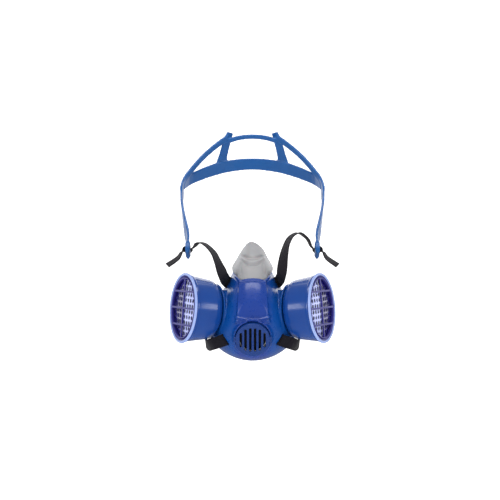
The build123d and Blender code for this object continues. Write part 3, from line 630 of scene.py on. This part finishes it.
def perforated_screen(name, place):
    """Shallow dome with a square pattern of round holes, set in place."""
    bm = bmesh.new()
    bmesh.ops.create_grid(bm, x_segments=CELLS, y_segments=CELLS, size=CELLS * PITCH * MM / 2)
    outside = [f for f in bm.faces if min(v.co.length for v in f.verts) > SCREEN_R * MM]
    bmesh.ops.delete(bm, geom=outside, context="FACES")
    holed = [f for f in bm.faces if f.calc_center_median().length < (SCREEN_R - PITCH * 0.72) * MM]
    bmesh.ops.inset_individual(bm, faces=holed, thickness=LAND * MM)
    bmesh.ops.delete(bm, geom=holed, context="FACES")
    for vert in bm.verts:
        reach = vert.co.length / MM
        if reach > SCREEN_R:
            vert.co *= SCREEN_R / reach
    bmesh.ops.remove_doubles(bm, verts=bm.verts, dist=0.05 * MM)
    for vert in bm.verts:
        reach = vert.co.length / MM / SCREEN_R
        vert.co.z = (SCREEN_LOW + SCREEN_RISE * (1 - reach * reach)) * MM
    bmesh.ops.recalc_face_normals(bm, faces=bm.faces)
    bmesh.ops.transform(bm, matrix=place, verts=bm.verts)
    piece = new_object(name, bm)
    wall = piece.modifiers.new("sheet", "SOLIDIFY")
    wall.thickness = 1.2 * MM
    wall.offset = -1
    round_holes = piece.modifiers.new("round holes", "SUBSURF")
    round_holes.levels = round_holes.render_levels = 2
    finished_mesh(piece)
    return piece


for name, side in SIDES:
    screen = perforated_screen(name + "_perforated_screen", port_matrix(name))
    clad(screen, abs_screen, name + "_filter", "indigo_screen", name + "_inlet_screen")
    print(name, "screen", len(screen.data.polygons), "faces")

# %% [markdown]
# ### Fleece pads
# Behind each screen lies the particle filter, a soft disc pressed between the screen and the charcoal. It
# is crowned a little in the middle, and its edge is pinched by the can.

# %% Fleece pads
PAD = [(0.0, 25.2), (33.8, 25.2), (34.4, 26.4), (34.8, 28.0), (34.5, 30.0), (30.0, 30.9), (15.0, 31.8),
       (0.0, 32.0)]
for name, side in SIDES:
    pad = spun(name + "_fleece_pad", PAD, port_matrix(name), 0.5, steps=64)
    clad(pad, fleece, name + "_filter", "filter_fleece", name + "_particulate_pad")
print("pads in place")


# %% [markdown]
# ## Straps
# A strap is a flat band that bends one way and twists, but never stretches. Its cross-section, a flat oval
# with a bead at each edge, is extruded step by step along a smooth path, turned at each step so that its
# width lies where the strap's width lies. The weave's UV map is laid on as the band grows.

# %% Strap helpers
PROFILE = [(-7.0, 0.0), (-6.8, 0.62), (-6.2, 0.80), (-5.5, 0.60), (-2.8, 0.66), (0.0, 0.68), (2.8, 0.66),
           (5.5, 0.60), (6.2, 0.80), (6.8, 0.62), (7.0, 0.0), (6.8, -0.62), (6.2, -0.80), (5.5, -0.60),
           (2.8, -0.66), (0.0, -0.68), (-2.8, -0.66), (-5.5, -0.60), (-6.2, -0.80), (-6.8, -0.62)]


def smooth_path(points, steps):
    """Points of a curve that passes through every given point, as a bent strap does."""
    row = [points[0] * 2 - points[1]] + points + [points[-1] * 2 - points[-2]]
    path = []
    for before, here, there, after in zip(row, row[1:], row[2:], row[3:]):
        for k in range(steps):
            t = k / steps
            path.append(0.5 * (2 * here + (there - before) * t
                               + (2 * before - 5 * here + 4 * there - after) * t ** 2
                               + (3 * here - before - 3 * there + after) * t ** 3))
    return path + [points[-1]]


def mixed(values, count):
    """Spreads a few directions evenly over count places."""
    row = []
    for k in range(count):
        where = k * (len(values) - 1) / (count - 1)
        low = min(int(where), len(values) - 2)
        row.append(values[low].lerp(values[low + 1], where - low))
    return row


def strap(name, centres, across):
    """Band of webbing along centres in mm, its width along across."""
    bm = bmesh.new()
    weave = bm.loops.layers.uv.new("weave")
    ring = [bm.verts.new((0, 0, 0)) for corner in PROFILE]
    edges = [bm.edges.new((a, b)) for a, b in zip(ring, ring[1:] + ring[:1])]
    first = bm.faces.new(ring)
    length = 0.0
    count = len(centres)
    for k, centre in enumerate(centres):
        run = (centres[min(k + 1, count - 1)] - centres[max(k - 1, 0)]).normalized()
        wide = (across[k] - run * across[k].dot(run)).normalized()
        thick = run.cross(wide)
        if k:
            before = length
            length += (centre - centres[k - 1]).length * MM
            grown = bmesh.ops.extrude_edge_only(bm, edges=edges)["geom"]
            faces = [g for g in grown if isinstance(g, bmesh.types.BMFace)]
            fresh = set(g for g in grown if isinstance(g, bmesh.types.BMVert))
            new_ring = []
            for vert in ring:
                new_ring.append(next(e.other_vert(vert) for e in vert.link_edges
                                     if e.other_vert(vert) in fresh))
            index = {v: n for n, v in enumerate(new_ring)}
            old_index = {v: n for n, v in enumerate(ring)}
            for face in faces:
                for loop in face.loops:
                    new = loop.vert in index
                    corner = PROFILE[index[loop.vert] if new else old_index[loop.vert]]
                    loop[weave].uv = (corner[0] * MM, length if new else before)
            ring = new_ring
            edges = [bm.edges.get((a, b)) for a, b in zip(ring, ring[1:] + ring[:1])]
        for vert, (out, up) in zip(ring, PROFILE):
            vert.co = (centre + wide * out + thick * up) * MM
    bm.faces.new(ring)
    bmesh.ops.recalc_face_normals(bm, faces=bm.faces)
    piece = new_object(name, bm)
    print(name, round(length / MM), "mm long")
    return piece


# %% [markdown]
# ### Upper straps
# Each upper strap leaves its slot beside the nose, climbs with a half twist and passes outward through the
# slot in the cradle's arm, where its free end hangs.

# %% Upper straps
UPPER_SLOT = (27.8, -18.55, 19.3)
UPPER_SLOT_RUN, UPPER_SLOT_OUT = (0.424, -0.235, -0.875), (0.869, -0.168, 0.466)
ARM_SLOT, ARM_BEND_FROM, ARM_BEND_TO = (73.9, 10, 58), (73.0, 10, 58), (79.0, 10, 58)
UPPER = {
    "right": [(33.5, -36.5, 27), (38, -30, 39), (45.8, -18, 54.5), (56, -5, 64), (64, 4, 65.5),
              (69.3, 8.8, 61.3)],
    "left": [(33, -36.5, 28), (35.3, -30, 46), (38.6, -20, 61), (45, -9, 73), (55, 0, 77.5), (65, 6.5, 71),
             (69.8, 9.2, 62)]}
TAIL = [(81.2, 10, 58), (85, 9.5, 54.5), (89.5, 8, 47.5), (101.5, 6, 39)]


def sided(point, side):
    """A point written for the left side, on either side."""
    return Vector((side * point[0], point[1], point[2]))


for name, side in SIDES:
    slot_at = sided(UPPER_SLOT, side)
    slot_run = sided(UPPER_SLOT_RUN, side)
    slot_out = sided(UPPER_SLOT_OUT, side)
    arm_across = Vector((0, 0.86, -0.51))
    path = [slot_at + slot_out * 2.5] + [sided(p, side) for p in UPPER[name]] + [sided(ARM_SLOT, side)]
    climb = [slot_at - slot_out * 3.0] + smooth_path(path, 8)
    climb_across = mixed([-slot_run, sided((-0.66, 0.66, 0.36), side), sided((-0.38, 0.92, 0.10), side),
                          sided((-0.28, 0.95, 0), side), sided((-0.18, 0.97, 0), side),
                          Vector((0, 1, 0))], len(climb) - 2)
    climb_across += [climb_across[-1].lerp(arm_across, 0.5), arm_across]
    hang = smooth_path([sided(p, side) for p in TAIL], 8)
    hang_across = mixed([arm_across, sided((0.20, 0.95, 0.05), side), sided((0.28, 0.90, 0.22), side),
                         sided((0.32, 0.88, 0.28), side)], len(hang))
    band = strap(name + "_crown_strap", climb + hang, climb_across + hang_across)
    band.data.materials.append(webbing)
    shade_smooth(band)
    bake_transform(band)
    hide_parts(name + "_upper_strap", name + "_strap_tail")

# %% [markdown]
# ### Neck straps
# The lower straps leave the cover beside the chin, fold round and run back to the clip at the nape. Each is
# one band.

# %% Neck straps
NECK = [(45.5, -57.5, -48.8), (49.5, -51, -50.8), (51.5, -38, -51.5), (53.6, -20, -50.1), (55.2, 0, -45.3),
        (58.5, 30, -34), (60, 60, -27), (54, 92, -21), (38, 115, -18), (17, 128, -16)]
LOWER_SLOT = (31.5, -57.32, -44.0)
LOWER_SLOT_RUN, LOWER_SLOT_OUT = (-0.524, -0.148, -0.839), (0.722, -0.6, -0.345)
FOLD, FOLD_BEND_FROM, FOLD_BEND_TO = (40.5, -58.5, -47.5), (39.0, -60.0, -47.5), (42.0, -57.0, -47.5)
for name, side in SIDES:
    slot_at = sided(LOWER_SLOT, side)
    slot_run = sided(LOWER_SLOT_RUN, side)
    slot_out = sided(LOWER_SLOT_OUT, side)
    fold = sided(FOLD, side)
    low_across = sided((-0.2, -0.35, -0.93), side)
    upright = Vector((0, 0.05, -1))
    front = [slot_at - slot_out * 3.0] + smooth_path([slot_at + slot_out * 2.0, fold], 8)
    front_across = mixed([slot_run, slot_run, low_across], len(front))
    back = smooth_path([fold] + [sided(p, side) for p in NECK], 8)[1:]
    back_across = mixed([low_across, sided((-0.3, 0.5, -0.8), side), upright, upright, upright, upright],
                        len(back))
    band = strap(name + "_nape_strap", front + back, front_across + back_across)
    band.data.materials.append(webbing)
    shade_smooth(band)
    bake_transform(band)
    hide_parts(name + "_lower_strap", name + "_neck_strap")

# %% [markdown]
# ## Small parts
# The ports, screens, valves, keepers and clip already have their real shape in the frame, so they keep it
# and only get their finish. The clip and the keepers also get a small bevel, because a moulded edge is
# never knife sharp and the highlight along it is what shows.

# %% Finishes of the frame's own parts
FINISH = {
    "exhalation_valve_seat": black_polypropylene, "exhalation_valve_disc": silicone_black,
    "neck_clip_hook": black_polypropylene, "neck_clip_loop": black_polypropylene}
PER_SIDE = {
    "port_connector": black_polypropylene, "inhalation_valve_seat": black_polypropylene,
    "inhalation_valve_disc": silicone_milky, "filter_gasket": silicone_milky,
    "bayonet_collar": black_polypropylene, "outlet_screen": black_polypropylene, "carbon_bed": charcoal,
    "inlet_grid": abs_rib, "upper_keeper": black_polypropylene,
    "lower_keeper": black_polypropylene}
for name, side in SIDES:
    for part, material in PER_SIDE.items():
        FINISH[name + "_" + part] = material
for name, material in FINISH.items():
    for material_slot in nodes[name].material_slots:
        material_slot.material = material
    if "clip" in name or "keeper" in name or "grid" in name:
        weld = nodes[name].modifiers.new("one skin", "WELD")
        weld.merge_threshold = 0.01 * MM
        rounding = nodes[name].modifiers.new("moulded edge", "BEVEL")
        rounding.width = 0.3 * MM
        rounding.segments = 2
        rounding.limit_method = "ANGLE"
        rounding.angle_limit = math.radians(40)
print(len(FINISH), "frame nodes finished")
